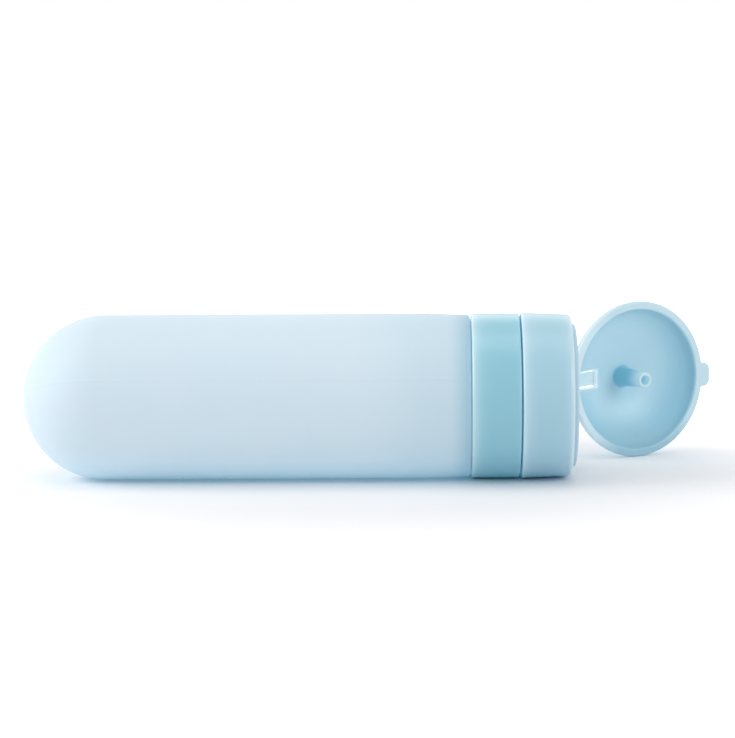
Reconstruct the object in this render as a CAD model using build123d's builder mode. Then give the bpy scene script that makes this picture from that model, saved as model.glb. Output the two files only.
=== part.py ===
from build123d import *
import os
from math import atan2, cos, degrees, radians, sin

os.makedirs("parts", exist_ok=True)

# A travel bottle of soft silicone with a screw cap and a flip lid, lying on its side with the lid open.
# +X runs along the bottle from its round tail to its mouth, +Y to the lid's hinge and +Z up.
# The origin is where the axis leaves the orifice plate. All lengths are in millimetres.

# Silicone body. Its radius is the whole bottle's: the ring, the cap and the lid follow it
body_radius = 20.0
body_wall = 2.0
body_length = 108.3
taper_length = 17.0
taper_drop = 0.5
body_edge_round = 0.7
neck_seat_overhang = 2.76
neck_seat_slope = 3.0

# Hard neck insert, with the mouth, the barbs that grip the silicone and the outer thread
neck_wall = 2.0
neck_rim_round = 0.4
skirt_wall = 1.4
skirt_length = 15.0
barb_height = 0.4
barb_pitch = 3.0
barb_length = 1.5
barb_count = 3
flange_thickness = 1.0
thread_pitch = 3.0
thread_turns = 2.0
thread_height = 0.9
thread_root_width = 1.6
thread_crest_width = 0.75
thread_lead = 1.6

# Collar ring, clamped round the silicone neck
ring_set_in = 0.15
ring_width = 11.56
ring_wall = 1.8
ring_web = 1.2
ring_edge_round = 0.5
body_joint_gap = 0.25
cap_joint_gap = 0.35

# Screw cap
cap_height = 12.12
cap_draft = 0.5
cap_wall = 1.9
cap_deck = 2.0
cap_edge_round = 0.5
cap_shoulder_round = 1.0
cap_thread_turns = 1.5

# Orifice plate, with the spout that the valve closes
plate_set_in = 2.3
plate_thickness = 1.05
plate_edge_round = 0.45
orifice_radius = 2.2
spout_wall = 1.6
spout_length = 3.95

# Anti-drip valve and its retainer
valve_thickness = 0.8
slit_length = 3.4
slit_width = 0.12
retainer_wall = 1.2
retainer_floor = 1.0

# Neck seal
seal_thickness = 1.1
seal_margin = 0.3

# Flip lid: a hollow dome with a plug, a thumb tab and a window at the hinge
lid_height = 10.2
lid_knee = 5.2
lid_rim_width = 2.06
dish_knee = 3.7
lid_crown = 2.15
lid_rim_round = 0.6
lid_lip_round = 0.45
plug_taper = 0.52
plug_wall = 0.62
plug_reach = 2.85
plug_bore_depth = 6.5
plug_root_round = 0.6
plug_tip_round = 0.25
tab_reach = 2.35
tab_width = 6.2
tab_thickness = 2.2
tab_corner = 1.7
tab_edge_round = 0.7
tab_root_share = 0.75
window_width = 4.5
window_length = 11.6
rim_bridge = 1.8

# Hinge
hinge_standoff = 2.4
open_angle = 119.3
knuckle_radius = 1.9
leaf_thickness = 0.8
leaf_width = 3.5
leaf_foot_width = 4.4
leaf_foot_length = 2.4
pin_radius = 0.8
pin_overhang = 0.4
pin_end_round = 0.25
ear_thickness = 1.6
ear_root_drop = 1.6
ear_root_length = 4.6

# Clearances, and how far joined shapes of one piece sink into each other
fit_gap = 0.05
thread_gap = 0.4
thread_crest_gap = 0.8
web_gap = 0.2
plug_gap = 0.26
lid_seat_gap = 0.1
pin_press_gap = 0.01
pin_running_gap = 0.06
ear_side_gap = 0.25
bond = 0.1

# Stations along the axis, counted back from the orifice plate's face
x_shoulder = -plate_thickness
x_deck = x_shoulder - cap_deck
x_cap_edge = x_shoulder - cap_height
x_ring_front = x_cap_edge - cap_joint_gap
x_ring_back = x_ring_front - ring_width
x_body_end = x_ring_back - body_joint_gap
x_tail = x_body_end - body_length
x_seal = x_deck - fit_gap
x_neck_rim = x_seal - seal_thickness - fit_gap
x_web = x_ring_front - ring_web
x_flange = x_web - fit_gap
x_skirt = x_flange - flange_thickness
x_skirt_end = x_skirt - skirt_length
x_seat_end = x_skirt - fit_gap
x_spout_end = x_shoulder - spout_length
x_valve = x_spout_end - fit_gap
x_retainer_floor = x_valve - valve_thickness - fit_gap
x_thread = x_neck_rim - thread_lead - thread_turns * thread_pitch

# Radii that fit into each other, from the outside in
cavity_radius = body_radius - body_wall
body_end_radius = body_radius - taper_drop
cap_radius = body_radius
cap_bore = cap_radius - cap_wall
thread_radius = cap_bore - thread_crest_gap
neck_radius = thread_radius - thread_height
mouth_radius = neck_radius - neck_wall
ring_radius = body_radius - ring_set_in
ring_bore = ring_radius - ring_wall
flange_radius = ring_bore - fit_gap
skirt_radius = mouth_radius + skirt_wall
seat_radius = skirt_radius + fit_gap
plate_radius = cap_radius - cap_draft - plate_set_in
spout_radius = orifice_radius + spout_wall
retainer_bore = spout_radius + fit_gap

# The lid closes flush with the cap, and its plug enters the orifice
lid_radius = cap_radius
dish_radius = lid_radius - lid_rim_width
dish_depth = lid_height - lid_crown
plug_tip_radius = orifice_radius - plug_gap
plug_root_radius = plug_tip_radius + plug_taper
plug_bore_radius = plug_tip_radius - plug_wall

# The lid's frame: its origin on the hinge, x from the hinge to the tab and y out of the dome
hinge_offset = lid_radius + hinge_standoff
hinge_x = x_shoulder + lid_seat_gap
window_start = hinge_standoff + window_length
swing = radians(open_angle)
lid_across = Vector(sin(swing), -cos(swing), 0)
lid_plane = Plane(origin=(hinge_x, hinge_offset, 0), x_dir=lid_across, z_dir=(0, 0, 1))
lid_centre = lid_plane.from_local_coords(Vector(hinge_offset, 0, 0))
rim_plane = Plane(origin=lid_centre, x_dir=lid_across, z_dir=lid_plane.y_dir)
lid_axis = Axis(lid_centre, -lid_plane.y_dir)


def corner(sketch, x, y):
    """The sketch's corner nearest to a point."""
    return sketch.vertices().sort_by_distance((x, y))[0]


def across(path):
    """The plane across a thread's path at its start, with x pointing out from the bottle's axis."""
    start = path @ 0
    return Plane(origin=start, x_dir=Vector(0, start.Y, start.Z), z_dir=path % 0)


def dome(radius, height, knee, side):
    """Half a dome's outline in the lid's frame: a knee arc up from the rim and a crown arc to the top.

    side is 1 for the half away from the hinge and -1 for the half at the hinge.
    """
    crown = ((radius - knee) ** 2 + height**2 - knee**2) / (2 * (height - knee))
    turn = degrees(atan2(crown - height, radius - knee))
    foot = CenterArc(
        (hinge_offset + side * (radius - knee), 0),
        knee,
        90 - side * 90,
        side * turn,
    )
    TangentArc(foot @ 1, (hinge_offset, height), tangent=foot % 1)
    Polyline((hinge_offset, height), (hinge_offset, 0), foot @ 0)


# Silicone body: a tube with a round tail, and a narrower neck that the collar ring clamps
tail_centre = x_tail + body_radius
x_seat = x_skirt_end - neck_seat_overhang
with BuildPart() as silicone_body:
    with BuildSketch(Plane.XY) as body_profile:
        with BuildLine():
            tail = CenterArc((tail_centre, 0), body_radius, 90, 90)
            side = Line((tail_centre, body_radius), (x_body_end - taper_length, body_radius))
            taper = TangentArc(side @ 1, (x_body_end, body_end_radius), tangent=side % 1)
            Polyline(
                (x_body_end, body_end_radius),
                (x_body_end, flange_radius),
                (x_seat_end, flange_radius),
                (x_seat_end, seat_radius),
                (x_seat, seat_radius),
                (x_seat - neck_seat_slope, cavity_radius),
                (tail_centre, cavity_radius),
            )
            hollow = CenterArc((tail_centre, 0), cavity_radius, 90, 90)
            Line(hollow @ 1, tail @ 1)
        make_face()
        fillet(corner(body_profile, x_body_end, body_end_radius), body_edge_round)
    revolve(axis=Axis.X)
    with BuildSketch(Plane.XY):
        for barb in range(barb_count):
            barb_x = x_skirt - (barb + 1) * barb_pitch
            with BuildLine():
                Polyline(
                    (barb_x + fit_gap, seat_radius - bond),
                    (barb_x + fit_gap, seat_radius + barb_height),
                    (barb_x - barb_length - fit_gap, seat_radius),
                    (barb_x - barb_length - fit_gap, seat_radius - bond),
                    close=True,
                )
            make_face()
    revolve(axis=Axis.X, mode=Mode.SUBTRACT)

# Neck insert: a barbed skirt inside the silicone, a flange and the threaded mouth
with BuildPart() as neck_insert:
    with BuildSketch(Plane.XY) as neck_profile:
        with BuildLine():
            Polyline(
                (x_skirt_end, mouth_radius),
                (x_neck_rim, mouth_radius),
                (x_neck_rim, neck_radius),
                (x_flange, neck_radius),
                (x_flange, flange_radius),
                (x_skirt, flange_radius),
                (x_skirt, skirt_radius),
                (x_skirt_end, skirt_radius),
                close=True,
            )
        make_face()
        fillet(corner(neck_profile, x_neck_rim, neck_radius), neck_rim_round)
        for barb in range(barb_count):
            barb_x = x_skirt - (barb + 1) * barb_pitch
            with BuildLine():
                Polyline(
                    (barb_x, skirt_radius - bond),
                    (barb_x, skirt_radius + barb_height),
                    (barb_x - barb_length, skirt_radius),
                    (barb_x - barb_length, skirt_radius - bond),
                    close=True,
                )
            make_face()
    revolve(axis=Axis.X)
    with BuildLine() as neck_path:
        Helix(
            thread_pitch,
            thread_turns * thread_pitch,
            neck_radius,
            center=(x_thread, 0, 0),
            direction=(1, 0, 0),
        )
    with BuildSketch(across(neck_path.line)):
        with BuildLine():
            Polyline(
                (-bond, -thread_root_width / 2),
                (thread_height, -thread_crest_width / 2),
                (thread_height, thread_crest_width / 2),
                (-bond, thread_root_width / 2),
                close=True,
            )
        make_face()
    sweep(path=neck_path.line, is_frenet=True)

# Collar ring: a sleeve whose front web bears on the insert's flange
with BuildPart() as collar_ring:
    with BuildSketch(Plane.XY) as ring_profile:
        with BuildLine():
            Polyline(
                (x_ring_back, ring_bore),
                (x_ring_back, ring_radius),
                (x_ring_front, ring_radius),
                (x_ring_front, thread_radius + web_gap),
                (x_web, thread_radius + web_gap),
                (x_web, ring_bore),
                close=True,
            )
        make_face()
        fillet(corner(ring_profile, x_ring_back, ring_radius), ring_edge_round)
        fillet(corner(ring_profile, x_ring_front, ring_radius), ring_edge_round)
    revolve(axis=Axis.X)

# Neck seal: a flat washer between the neck's rim and the cap's deck
with BuildPart() as neck_seal:
    with BuildSketch(Plane.YZ.offset(x_seal - seal_thickness)):
        Circle(neck_radius)
        Circle(mouth_radius + seal_margin, mode=Mode.SUBTRACT)
    extrude(amount=seal_thickness)

# Screw cap: a deck with the spout's hole, a drafted wall with the inner thread, and the hinge's two ears
ear_inner = leaf_width / 2 + ear_side_gap
ear_outer = ear_inner + ear_thickness
ear_root_depth = cap_radius - cap_wall / 2
with BuildPart() as screw_cap:
    with BuildSketch(Plane.XY) as cap_profile:
        with BuildLine():
            Polyline(
                (x_cap_edge, cap_bore),
                (x_cap_edge, cap_radius),
                (x_shoulder, cap_radius - cap_draft),
                (x_shoulder, retainer_bore),
                (x_deck, retainer_bore),
                (x_deck, cap_bore),
                close=True,
            )
        make_face()
        fillet(corner(cap_profile, x_cap_edge, cap_radius), cap_edge_round)
        fillet(corner(cap_profile, x_shoulder, cap_radius - cap_draft), cap_shoulder_round)
    revolve(axis=Axis.X)
    with BuildLine() as cap_path:
        Helix(
            thread_pitch,
            cap_thread_turns * thread_pitch,
            cap_bore,
            center=(x_thread + thread_pitch / 2, 0, 0),
            direction=(1, 0, 0),
        )
    with BuildSketch(across(cap_path.line)):
        with BuildLine():
            Polyline(
                (bond, -thread_root_width / 2),
                (neck_radius + thread_gap - cap_bore, -thread_crest_width / 2),
                (neck_radius + thread_gap - cap_bore, thread_crest_width / 2),
                (bond, thread_root_width / 2),
                close=True,
            )
        make_face()
    sweep(path=cap_path.line, is_frenet=True)
    for ear_start in (ear_inner, -ear_outer):
        with BuildSketch(Plane.XY.offset(ear_start)):
            with Locations((hinge_x, hinge_offset)):
                Circle(knuckle_radius)
            with Locations((hinge_x - ear_root_drop, ear_root_depth)):
                Rectangle(ear_root_length, bond, align=(Align.MAX, Align.CENTER))
            make_hull()
            with Locations((hinge_x, hinge_offset)):
                Circle(pin_radius + pin_press_gap, mode=Mode.SUBTRACT)
        extrude(amount=ear_thickness)

# Orifice plate: a raised disc on the deck, with a spout through the deck
with BuildPart() as orifice_plate:
    with BuildSketch(Plane.XY) as plate_profile:
        with BuildLine():
            Polyline(
                (0, orifice_radius),
                (0, plate_radius),
                (x_shoulder, plate_radius),
                (x_shoulder, spout_radius),
                (x_spout_end, spout_radius),
                (x_spout_end, orifice_radius),
                close=True,
            )
        make_face()
        fillet(corner(plate_profile, 0, plate_radius), plate_edge_round)
    revolve(axis=Axis.X)

# Anti-drip valve: a soft disc with a cross slit
with BuildPart() as drip_valve:
    with BuildSketch(Plane.YZ.offset(x_valve - valve_thickness)):
        Circle(spout_radius)
        Rectangle(slit_length, slit_width, mode=Mode.SUBTRACT)
        Rectangle(slit_width, slit_length, mode=Mode.SUBTRACT)
    extrude(amount=valve_thickness)

# Valve retainer: a cup that grips the spout and holds the valve against its end
with BuildPart() as valve_retainer:
    with BuildSketch(Plane.XY):
        with BuildLine():
            Polyline(
                (x_seal, retainer_bore),
                (x_seal, retainer_bore + retainer_wall),
                (x_retainer_floor - retainer_floor, retainer_bore + retainer_wall),
                (x_retainer_floor - retainer_floor, orifice_radius),
                (x_retainer_floor, orifice_radius),
                (x_retainer_floor, retainer_bore),
                close=True,
            )
        make_face()
    revolve(axis=Axis.X)

# Thumb tab, made alone so that its edges can be rounded before it joins the lid's rim
with BuildPart() as thumb_tab:
    with BuildSketch(rim_plane) as tab_outline:
        with Locations((lid_radius + tab_reach, 0)):
            Rectangle(
                tab_reach + lid_rim_width * tab_root_share,
                tab_width,
                align=(Align.MAX, Align.CENTER),
            )
        fillet(tab_outline.vertices().sort_by(Axis.X)[-2:], tab_corner)
    extrude(amount=tab_thickness)
    fillet(thumb_tab.faces().filter_by(lid_axis).edges(), tab_edge_round)

# Flip lid: the half section away from the hinge, turned about the lid's axis
with BuildPart() as flip_lid:
    with BuildSketch(lid_plane) as lid_profile:
        with BuildLine():
            dome(lid_radius, lid_height, lid_knee, 1)
        make_face()
        with BuildLine():
            dome(dish_radius, dish_depth, dish_knee, 1)
        make_face(mode=Mode.SUBTRACT)
        with BuildLine():
            Polyline(
                (hinge_offset, -plug_reach),
                (hinge_offset + plug_tip_radius, -plug_reach),
                (hinge_offset + plug_root_radius, dish_depth),
                (hinge_offset, dish_depth + bond),
                close=True,
            )
        make_face()
        with Locations((hinge_offset, -plug_reach)):
            Rectangle(
                plug_bore_radius,
                plug_bore_depth,
                align=(Align.MIN, Align.MIN),
                mode=Mode.SUBTRACT,
            )
        fillet(corner(lid_profile, hinge_offset + plug_root_radius, dish_depth), plug_root_round)
        fillet(corner(lid_profile, hinge_offset + plug_tip_radius, -plug_reach), plug_tip_round)
        fillet(corner(lid_profile, hinge_offset + lid_radius, 0), lid_rim_round)
        fillet(corner(lid_profile, hinge_offset + dish_radius, 0), lid_lip_round)
    revolve(axis=lid_axis)
    with BuildSketch(lid_plane):
        with Locations((window_start, rim_bridge)):
            Rectangle(lid_radius, lid_height, align=(Align.MAX, Align.MIN))
    extrude(amount=window_width / 2, both=True, mode=Mode.SUBTRACT)
    add(thumb_tab.part)

# Hinge leaf: a strap flush in the lid's window, with a wide foot on the rim and the hinge's knuckle
leaf_seat = rim_bridge + fit_gap
with BuildPart() as hinge_leaf:
    with BuildSketch(lid_plane):
        with BuildLine():
            dome(lid_radius, lid_height, lid_knee, -1)
        make_face()
        with BuildLine():
            dome(lid_radius - leaf_thickness, lid_height - leaf_thickness, lid_knee - leaf_thickness, -1)
        make_face(mode=Mode.SUBTRACT)
        with Locations((window_start - fit_gap, leaf_seat)):
            Rectangle(lid_radius, lid_height, align=(Align.MAX, Align.MIN), mode=Mode.INTERSECT)
        with BuildLine():
            Polyline(
                (-knuckle_radius, 0),
                (hinge_standoff - fit_gap, 0),
                (hinge_standoff - fit_gap, leaf_seat),
                (hinge_standoff + lid_rim_width, leaf_seat),
                (hinge_standoff + leaf_thickness, leaf_seat + leaf_thickness),
                (0, leaf_seat + leaf_thickness),
                close=True,
            )
        make_face()
        Circle(knuckle_radius)
        Circle(pin_radius + pin_running_gap, mode=Mode.SUBTRACT)
    extrude(amount=leaf_width / 2, both=True)
    with BuildSketch(lid_plane):
        with BuildLine():
            dome(lid_radius, lid_height, lid_knee, -1)
        make_face()
        with BuildLine():
            dome(lid_radius - leaf_thickness, lid_height - leaf_thickness, lid_knee - leaf_thickness, -1)
        make_face(mode=Mode.SUBTRACT)
        with Locations((hinge_standoff + leaf_foot_length, leaf_seat)):
            Rectangle(lid_radius, lid_height, align=(Align.MAX, Align.MIN), mode=Mode.INTERSECT)
    extrude(amount=leaf_foot_width / 2, both=True)

# Hinge pin: pressed into the ears, with the leaf's knuckle running on it
pin_half = ear_outer + pin_overhang
with BuildPart() as hinge_pin:
    with BuildSketch(Plane.XY.offset(-pin_half)):
        with Locations((hinge_x, hinge_offset)):
            Circle(pin_radius)
    extrude(amount=2 * pin_half)
    fillet(hinge_pin.edges().filter_by(GeomType.CIRCLE), pin_end_round)

pieces = {
    "silicone_body": silicone_body,
    "neck_insert": neck_insert,
    "collar_ring": collar_ring,
    "neck_seal": neck_seal,
    "screw_cap": screw_cap,
    "orifice_plate": orifice_plate,
    "drip_valve": drip_valve,
    "valve_retainer": valve_retainer,
    "flip_lid": flip_lid,
    "hinge_leaf": hinge_leaf,
    "hinge_pin": hinge_pin,
}
for name, piece in pieces.items():
    piece.part.label = name
    export_step(piece.part, f"parts/{name}.step")
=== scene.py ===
"""The looks of a travel bottle: a soft silicone body, its hard fittings and its open flip lid.

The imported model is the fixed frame. Everything is in metres: the bottle's axis lies along X with
the mouth towards +X, the lid's hinge is at +Y and up is +Z. The floor touches the bottle at its
lowest point.
"""

import logging
import math
from dataclasses import dataclass
from enum import Enum

import bmesh
import bpy
from mathutils import Matrix, Vector


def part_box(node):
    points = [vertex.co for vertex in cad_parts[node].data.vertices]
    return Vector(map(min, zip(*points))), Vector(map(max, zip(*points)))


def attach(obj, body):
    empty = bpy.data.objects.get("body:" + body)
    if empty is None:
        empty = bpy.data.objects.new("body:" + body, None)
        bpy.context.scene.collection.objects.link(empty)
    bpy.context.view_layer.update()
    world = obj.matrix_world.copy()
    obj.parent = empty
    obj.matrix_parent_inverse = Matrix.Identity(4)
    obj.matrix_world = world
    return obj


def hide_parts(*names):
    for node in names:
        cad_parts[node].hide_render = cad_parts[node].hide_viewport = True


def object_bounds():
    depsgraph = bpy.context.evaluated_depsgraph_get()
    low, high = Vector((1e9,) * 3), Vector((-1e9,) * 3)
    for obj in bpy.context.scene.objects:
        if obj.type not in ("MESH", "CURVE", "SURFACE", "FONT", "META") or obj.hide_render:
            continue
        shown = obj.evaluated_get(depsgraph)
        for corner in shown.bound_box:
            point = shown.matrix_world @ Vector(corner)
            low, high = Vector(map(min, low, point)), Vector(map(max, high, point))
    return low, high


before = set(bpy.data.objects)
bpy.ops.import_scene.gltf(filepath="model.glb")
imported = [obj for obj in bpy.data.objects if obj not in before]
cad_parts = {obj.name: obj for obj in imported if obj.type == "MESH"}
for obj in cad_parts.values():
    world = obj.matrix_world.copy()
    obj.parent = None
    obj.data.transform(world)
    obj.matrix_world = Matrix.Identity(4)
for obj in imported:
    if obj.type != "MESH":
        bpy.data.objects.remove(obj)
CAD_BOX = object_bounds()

LOG = logging.getLogger("travel_bottle")
MM = 0.001

Xyz = tuple[float, float, float]
Rgba = tuple[float, float, float, float]

ALONG: Xyz = (1.0, 0.0, 0.0)
UP: Xyz = (0.0, 0.0, 1.0)
DOWN: Xyz = (0.0, 0.0, -1.0)
BLACK: Rgba = (0.0, 0.0, 0.0, 1.0)
WHITE: Rgba = (1.0, 1.0, 1.0, 1.0)

# The open lid: its hinge, the way across it from there, and the way into its dome
OPEN_ANGLE = math.radians(119.3)
HINGE: Xyz = (-0.95 * MM, 22.4 * MM, 0.0)
LID_ACROSS: Xyz = (math.sin(OPEN_ANGLE), -math.cos(OPEN_ANGLE), 0.0)
LID_OUTWARD: Xyz = (math.cos(OPEN_ANGLE), math.sin(OPEN_ANGLE), 0.0)


# Colours and named options


class Tint(Enum):
    """Colours of the mouldings as they read in plain light, red, green and blue from 0 to 255."""

    BODY = (210, 222, 230)
    BODY_DEEP = (200, 217, 228)
    # Painted shade on the body towards its neck
    BODY_NECK_SHADE = (148, 185, 203)
    RING = (136, 194, 209)
    RING_PALE = (214, 238, 244)
    CAP = (159, 201, 213)
    CAP_PALE = (224, 239, 244)
    PLATE = (184, 211, 225)
    PLATE_PALE = (206, 230, 240)
    LID = (178, 214, 226)
    # Painted shade on the lid's wall, plug and low part
    LID_WALL_SHADE = (133, 190, 210)
    LID_PLUG_SHADE = (84, 177, 201)
    LID_PALE = (197, 214, 218)
    LID_LOW_SHADE = (137, 181, 197)
    # Painted light on the lid's rim at the hinge side
    LID_NEAR_LIGHT = (207, 225, 230)
    LEAF = (212, 232, 241)
    INSERT = (232, 238, 240)
    INSERT_PALE = (244, 248, 249)
    SEAL = (236, 240, 242)
    VALVE = (226, 236, 240)
    STEEL = (196, 198, 200)
    FLOOR = (245, 245, 247)

    def linear(self) -> Rgba:
        """The colour in scene-linear values, with an alpha of 1."""
        parts = (part / 255 for part in self.value)
        r, g, b = (p / 12.92 if p <= 0.04045 else ((p + 0.055) / 1.055) ** 2.4 for p in parts)
        return (r, g, b, 1.0)


class Kind(Enum):
    """Kinds of socket on a node group."""

    FLOAT = "NodeSocketFloat"
    VECTOR = "NodeSocketVector"
    COLOUR = "NodeSocketColor"


# Wiring of node trees


class Wiring:
    """Places the nodes of one tree and links them."""

    FADE_BASE = 2.718
    MIX_FIRST, MIX_SECOND, MIX_RESULT = 6, 7, 2

    def __init__(self, tree: bpy.types.NodeTree) -> None:
        """Keeps the tree.

        Args:
            tree: The node tree to fill.
        """
        self.tree = tree

    def node(self, kind: str, **settings: object) -> bpy.types.Node:
        """Adds a node.

        Args:
            kind: The node's type name.
            settings: Properties to set on it.

        Returns:
            The new node.
        """
        made = self.tree.nodes.new(kind)
        for name, value in settings.items():
            setattr(made, name, value)
        return made

    def feed(self, socket: bpy.types.NodeSocket, value: object) -> None:
        """Links a socket to another, or sets its constant.

        Args:
            socket: The input to feed.
            value: A socket, a number, a colour or a vector.
        """
        if isinstance(value, bpy.types.NodeSocket):
            self.tree.links.new(value, socket)
        else:
            socket.default_value = value

    def math(self, operation: str, *values: object, clamp: bool = False) -> bpy.types.NodeSocket:
        """A Math node's result.

        Args:
            operation: The node's operation.
            values: Its inputs, in order.
            clamp: Whether the result is held between 0 and 1.

        Returns:
            The output socket.
        """
        made = self.node("ShaderNodeMath", operation=operation, use_clamp=clamp)
        for socket, value in zip(made.inputs, values):
            self.feed(socket, value)
        return made.outputs[0]

    def times(self, first: object, *others: object) -> bpy.types.NodeSocket:
        """The product of two or more numbers, as an output socket."""
        product = first
        for other in others:
            product = self.math("MULTIPLY", product, other)
        return product

    def rest(self, share: object) -> bpy.types.NodeSocket:
        """What a share lacks of 1, as an output socket."""
        return self.math("SUBTRACT", 1.0, share)

    def way(self, a: object, b: object) -> bpy.types.NodeSocket:
        """The length of a way with two parts at right angles, as an output socket."""
        squares = self.math("ADD", self.math("POWER", a, 2.0), self.math("POWER", b, 2.0))
        return self.math("SQRT", squares)

    def fade(self, way: object) -> bpy.types.NodeSocket:
        """A share that falls off exponentially from 1, as an output socket."""
        return self.math("POWER", self.FADE_BASE, self.math("MULTIPLY", way, -1.0))

    def vector(self, operation: str, *values: object) -> bpy.types.Node:
        """Adds a Vector Math node.

        Args:
            operation: The node's operation.
            values: Its inputs, in order.

        Returns:
            The new node, whose outputs are a vector and a value.
        """
        made = self.node("ShaderNodeVectorMath", operation=operation)
        for socket, value in zip(made.inputs, values):
            self.feed(socket, value)
        return made

    def dot(self, a: object, b: object) -> bpy.types.NodeSocket:
        """The dot product of two vectors, as an output socket."""
        return self.vector("DOT_PRODUCT", a, b).outputs["Value"]

    def ramp(self, value: object, start: object, end: object) -> bpy.types.NodeSocket:
        """A smooth step.

        Args:
            value: What is measured.
            start: Where the result is 0.
            end: Where the result is 1.

        Returns:
            The output socket.
        """
        made = self.node("ShaderNodeMapRange", interpolation_type="SMOOTHSTEP")
        self.feed(made.inputs["Value"], value)
        self.feed(made.inputs["From Min"], start)
        self.feed(made.inputs["From Max"], end)
        return made.outputs["Result"]

    def mix(self, share: object, first: object, second: object) -> bpy.types.NodeSocket:
        """Mixes two colours.

        Args:
            share: How much of the second colour shows, from 0 to 1.
            first: The first colour.
            second: The second colour.

        Returns:
            The output socket.
        """
        made = self.node("ShaderNodeMix", data_type="RGBA")
        self.feed(made.inputs["Factor"], share)
        self.feed(made.inputs[self.MIX_FIRST], first)
        self.feed(made.inputs[self.MIX_SECOND], second)
        return made.outputs[self.MIX_RESULT]

    def noise(self, place: object, size: object, detail: float) -> bpy.types.NodeSocket:
        """Even noise.

        Args:
            place: The coordinates it is read at.
            size: The size of its grains in metres.
            detail: How many finer layers it has.

        Returns:
            The factor socket.
        """
        made = self.node("ShaderNodeTexNoise")
        self.feed(made.inputs["Vector"], place)
        self.feed(made.inputs["Scale"], self.math("DIVIDE", 1.0, size))
        made.inputs["Detail"].default_value = detail
        return made.outputs["Fac"]

    def stretch(
        self, place: object, scale: Xyz, turn: Xyz = (0.0, 0.0, 0.0)
    ) -> bpy.types.NodeSocket:
        """Stretched and turned coordinates.

        Args:
            place: The coordinates.
            scale: What each axis is multiplied by.
            turn: The angles it is turned by.

        Returns:
            The vector socket.
        """
        made = self.node("ShaderNodeMapping")
        self.feed(made.inputs["Vector"], place)
        made.inputs["Scale"].default_value = scale
        made.inputs["Rotation"].default_value = turn
        return made.outputs[0]

    def bump(self, height: object, strength: float, distance: float) -> bpy.types.NodeSocket:
        """A bumped normal.

        Args:
            height: The height socket.
            strength: How much of it shows.
            distance: How high a height of 1 stands, in metres.

        Returns:
            The normal socket.
        """
        made = self.node("ShaderNodeBump")
        made.inputs["Strength"].default_value = strength
        made.inputs["Distance"].default_value = distance
        self.feed(made.inputs["Height"], height)
        return made.outputs[0]


@dataclass(frozen=True)
class Surface:
    """A material under construction, with its wiring, its shader and its object coordinates."""

    material: bpy.types.Material
    wiring: Wiring
    shader: bpy.types.Node
    place: bpy.types.NodeSocket

    @classmethod
    def named(cls, name: str) -> "Surface":
        """Starts a material of the given name."""
        material = bpy.data.materials.new(name)
        material.use_nodes = True
        wiring = Wiring(material.node_tree)
        shader = material.node_tree.nodes["Principled BSDF"]
        return cls(material, wiring, shader, wiring.node("ShaderNodeTexCoord").outputs["Object"])

    def set(self, values: dict[str, object]) -> None:
        """Links or sets the shader's own inputs, by their names."""
        for name, value in values.items():
            self.wiring.feed(self.shader.inputs[name], value)


# Effects shared by materials


class Effect:
    """A node group that is built once and placed in each material with its own values."""

    NAME = ""
    INPUTS: tuple[tuple[str, Kind, object], ...] = ()
    OUTPUTS: tuple[tuple[str, Kind], ...] = ()

    def wire(self, w: Wiring, given: dict) -> dict:
        """Wires the group's inside.

        Args:
            w: The wiring of the group's tree.
            given: The group's input sockets by name.

        Returns:
            The socket for each output, by name.
        """
        raise NotImplementedError

    def tree(self) -> bpy.types.NodeTree:
        """The group's tree, built on its first use."""
        if self.NAME in bpy.data.node_groups:
            return bpy.data.node_groups[self.NAME]
        tree = bpy.data.node_groups.new(self.NAME, "ShaderNodeTree")
        for name, kind, value in self.INPUTS:
            socket = tree.interface.new_socket(name, in_out="INPUT", socket_type=kind.value)
            if value is not None:
                socket.default_value = value
        for name, kind in self.OUTPUTS:
            tree.interface.new_socket(name, in_out="OUTPUT", socket_type=kind.value)
        w = Wiring(tree)
        inside = w.node("NodeGroupInput")
        outside = w.node("NodeGroupOutput")
        made = self.wire(w, {name: inside.outputs[name] for name, _, _ in self.INPUTS})
        for name, socket in made.items():
            tree.links.new(socket, outside.inputs[name])
        return tree

    def place(self, w: Wiring, **values: object) -> dict:
        """Places the group in a material.

        Args:
            w: The wiring of the material's tree.
            values: Its inputs, with _ for each space in a name.

        Returns:
            Its output sockets by name.
        """
        made = w.node("ShaderNodeGroup", node_tree=self.tree())
        for name, value in values.items():
            w.feed(made.inputs[name.replace("_", " ")], value)
        return {name: made.outputs[name] for name, _ in self.OUTPUTS}


class MouldGrain(Effect):
    """The fine, even grain that a blasted mould leaves, over a very slight waviness."""

    NAME = "mould grain"
    INPUTS = (
        ("Place", Kind.VECTOR, None),
        ("Grain", Kind.FLOAT, 0.0003),
        ("Wave", Kind.FLOAT, 0.006),
        ("Waviness", Kind.FLOAT, 1.0),
    )
    OUTPUTS = (("Height", Kind.FLOAT), ("Fleck", Kind.FLOAT))
    GRAIN_DETAIL = 2.0
    WAVE_DETAIL = 1.0
    FLECK_RANGE = (0.35, 0.75)

    def wire(self, w: Wiring, given: dict) -> dict:
        """Adds fine grain to a broad wave."""
        grain = w.noise(given["Place"], given["Grain"], self.GRAIN_DETAIL)
        wave = w.noise(given["Place"], given["Wave"], self.WAVE_DETAIL)
        height = w.math("MULTIPLY_ADD", wave, given["Waviness"], grain)
        return {"Height": height, "Fleck": w.ramp(grain, *self.FLECK_RANGE)}


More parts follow.
